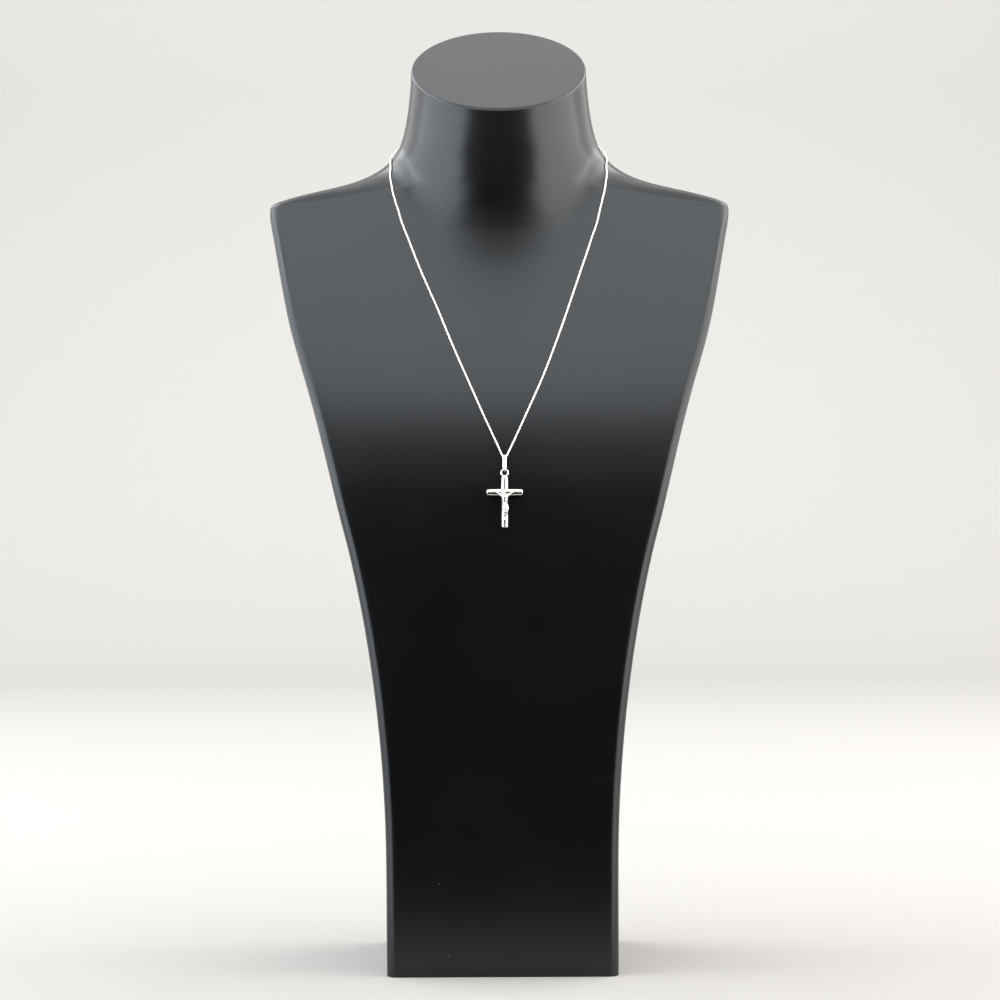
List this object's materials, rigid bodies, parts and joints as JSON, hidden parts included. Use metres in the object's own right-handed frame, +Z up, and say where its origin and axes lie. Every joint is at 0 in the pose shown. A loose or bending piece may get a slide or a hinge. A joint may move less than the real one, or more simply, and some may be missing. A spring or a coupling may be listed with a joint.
{
  "type": "crucifix pendant necklace on a display bust",
  "caption": "Fine chain necklace with a long bail and a round-bar crucifix, worn by a black neck-and-shoulder display stand.",
  "frame": {"origin": "middle of the underside of the display bust's foot, on the table", "axes": "+Z up, the bust and the crucifix face -Y, +X to the right as seen from the front"},
  "size_m": [0.229, 0.1184, 0.47],
  "materials": {
    "black_lacquer": "satin",
    "silver": "polished"
  },
  "bodies": {
    "stand": {"display_bust": "black_lacquer", "chain": "silver", "clasp": "silver"},
    "bail": {"bail": "silver"},
    "crucifix": {"crucifix": "silver"}
  },
  "joints": [
    {"name": "bail_swing", "type": "hinge", "parent": "stand", "child": "bail", "pos_m": [0.002, -0.05675, 0.2543], "axis": [-1, 0, 0], "range_deg": [0, 60]},
    {"name": "cross_swing", "type": "hinge", "parent": "bail", "child": "crucifix", "pos_m": [0.002, -0.05736, 0.24725], "axis": [0, -0.9962, 0.0872], "range_deg": [-30, 30]}
  ]
}
